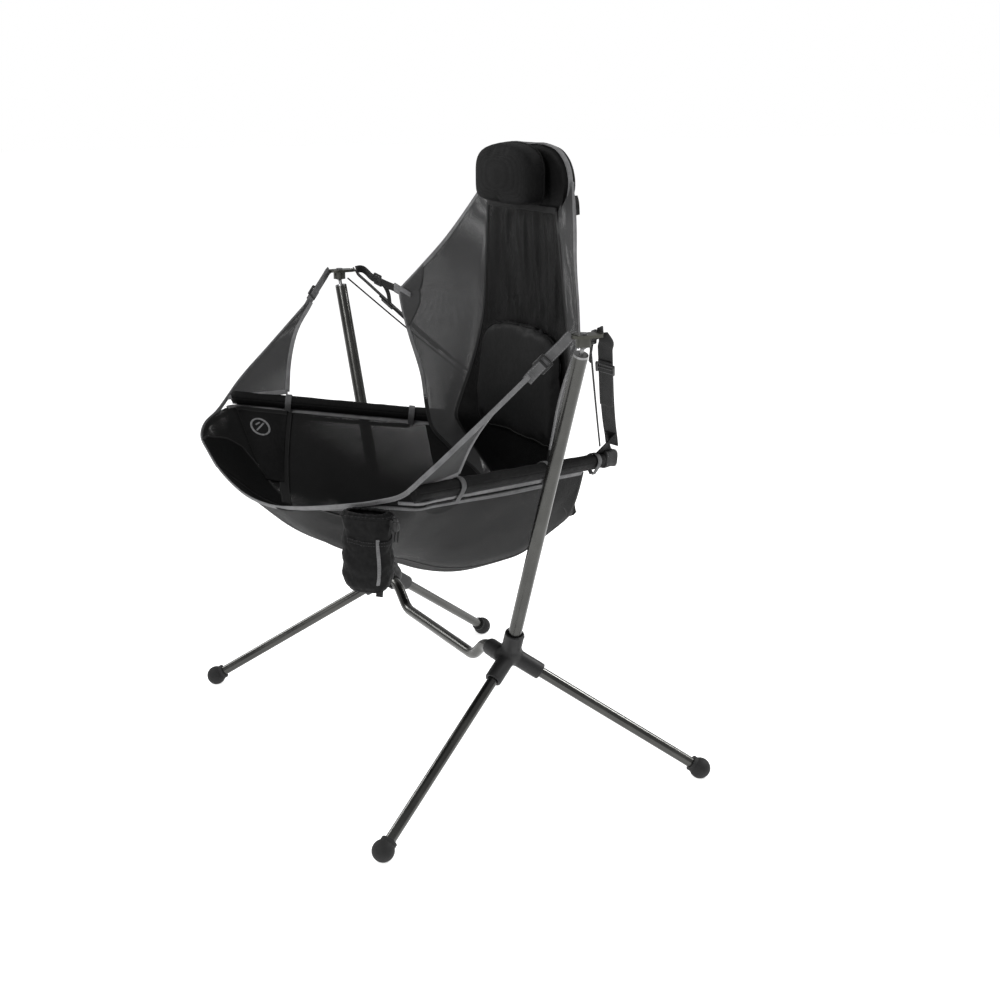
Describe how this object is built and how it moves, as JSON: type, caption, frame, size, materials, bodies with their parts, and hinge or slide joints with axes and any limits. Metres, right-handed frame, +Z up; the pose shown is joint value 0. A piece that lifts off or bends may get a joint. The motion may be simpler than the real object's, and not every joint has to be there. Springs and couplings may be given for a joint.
{
  "type": "camp rocking chair",
  "caption": "Reclining camp chair: a mesh bucket seat hung by webbing from two uprights on a four-legged tube base, swinging freely, with a padded headrest.",
  "frame": {"origin": "on the ground, under the middle of the chair's box", "axes": "+Z up; the sitter faces -Y; +X is the sitter's left"},
  "size_m": [1.052, 0.74, 1.17],
  "materials": {
    "hub_plastic": "moulded glass-filled nylon, fine texture",
    "tube_metal": "gunmetal anodised tube, satin",
    "foot_rubber": "soft rubber",
    "screw_steel": "blackened steel",
    "ball_steel": "turned steel",
    "plate_metal": "olive grey anodised plate",
    "cup_metal": "bright turned aluminium",
    "rivet_metal": "polished rivet",
    "shock_cord": "braided elastic cord",
    "bar_metal": "anodised tube",
    "sleeve_fabric": "padded woven sleeve",
    "corner_fabric": "coated reinforcement fabric",
    "cap_plastic": "moulded cap",
    "webbing": "woven webbing",
    "strap_grey": "grey binding webbing",
    "buckle_plastic": "moulded ladder-lock",
    "cord": "braided cord",
    "mesh": "open polyester mesh",
    "black_fabric": "black woven nylon",
    "pad_fabric": "padded black nylon",
    "pillow_fabric": "brushed knit",
    "hoop_metal": "bent aluminium rod",
    "pocket_fabric": "black woven nylon",
    "lock_plastic": "cord lock"
  },
  "bodies": {
    "base": {"hub_left": "hub_plastic", "upright_left": "tube_metal", "hanging_ball_left": "ball_steel", "hub_right": "hub_plastic", "upright_right": "tube_metal", "hanging_ball_right": "ball_steel", "crossbar": "tube_metal", "hub_screws": "screw_steel"},
    "leg_front_left": {"leg_tube_front_left": "tube_metal", "foot_front_left": "foot_rubber", "shock_cord_front_left": "shock_cord"},
    "leg_front_right": {"leg_tube_front_right": "tube_metal", "foot_front_right": "foot_rubber", "shock_cord_front_right": "shock_cord"},
    "leg_rear_left": {"leg_tube_rear_left": "tube_metal", "foot_rear_left": "foot_rubber", "shock_cord_rear_left": "shock_cord"},
    "leg_rear_right": {"leg_tube_rear_right": "tube_metal", "foot_rear_right": "foot_rubber", "shock_cord_rear_right": "shock_cord"},
    "back": {"back_panel": "black_fabric", "lumbar_pad": "pad_fabric", "wing_left": "mesh", "wing_right": "mesh", "head_hoop": "hoop_metal", "head_hood": "mesh", "pull_tab": "webbing"},
    "headrest": {"pillow": "pillow_fabric"},
    "seat": {"hanging_plate_left": "plate_metal", "ball_cup_left": "cup_metal", "side_bar_left": "bar_metal", "bar_sleeve_left": "sleeve_fabric", "bar_corner_left": "corner_fabric", "front_gusset_left": "mesh", "gusset_strap_left": "strap_grey", "rear_strap_left": "webbing", "tension_cord_left": "cord", "wing_strap_left": "webbing", "side_panel_left": "mesh", "hanging_plate_right": "plate_metal", "ball_cup_right": "cup_metal", "side_bar_right": "bar_metal", "bar_sleeve_right": "sleeve_fabric", "bar_corner_right": "corner_fabric", "front_gusset_right": "mesh", "gusset_strap_right": "strap_grey", "rear_strap_right": "webbing", "tension_cord_right": "cord", "wing_strap_right": "webbing", "side_panel_right": "mesh", "plate_rivets": "rivet_metal", "bar_end_caps": "cap_plastic", "gusset_buckles": "buckle_plastic", "rear_buckles": "buckle_plastic", "wing_buckles": "buckle_plastic", "seat_base": "black_fabric", "seat_rear_panel": "black_fabric", "bottle_pocket": "pocket_fabric", "cord_lock": "lock_plastic", "inner_pocket": "pocket_fabric"}
  },
  "joints": [
    {"name": "leg_front_left_pull", "type": "slide", "parent": "base", "child": "leg_front_left", "axis": [0.3955, -0.7622, -0.5125], "range_m": [0, 0.04], "stiffness_N_per_m": 150, "springref_m": -0.04},
    {"name": "leg_front_right_pull", "type": "slide", "parent": "base", "child": "leg_front_right", "axis": [-0.3955, -0.7622, -0.5125], "range_m": [0, 0.04], "stiffness_N_per_m": 150, "springref_m": -0.04},
    {"name": "leg_rear_left_pull", "type": "slide", "parent": "base", "child": "leg_rear_left", "axis": [0.4096, 0.7354, -0.5399], "range_m": [0, 0.04], "stiffness_N_per_m": 150, "springref_m": -0.04},
    {"name": "leg_rear_right_pull", "type": "slide", "parent": "base", "child": "leg_rear_right", "axis": [-0.4096, 0.7354, -0.5399], "range_m": [0, 0.04], "stiffness_N_per_m": 150, "springref_m": -0.04},
    {"name": "seat_swing", "type": "hinge", "parent": "base", "child": "seat", "pos_m": [0, 0.034, 0.866], "axis": [1, 0, 0], "range_deg": [-12, 12]},
    {"name": "back_recline", "type": "hinge", "parent": "seat", "child": "back", "pos_m": [0, 0.209, 0.574], "axis": [-1, 0, 0], "range_deg": [0, 55]},
    {"name": "headrest_slide", "type": "slide", "parent": "back", "child": "headrest", "axis": [0, 0, -1], "range_m": [0, 0.06]}
  ]
}
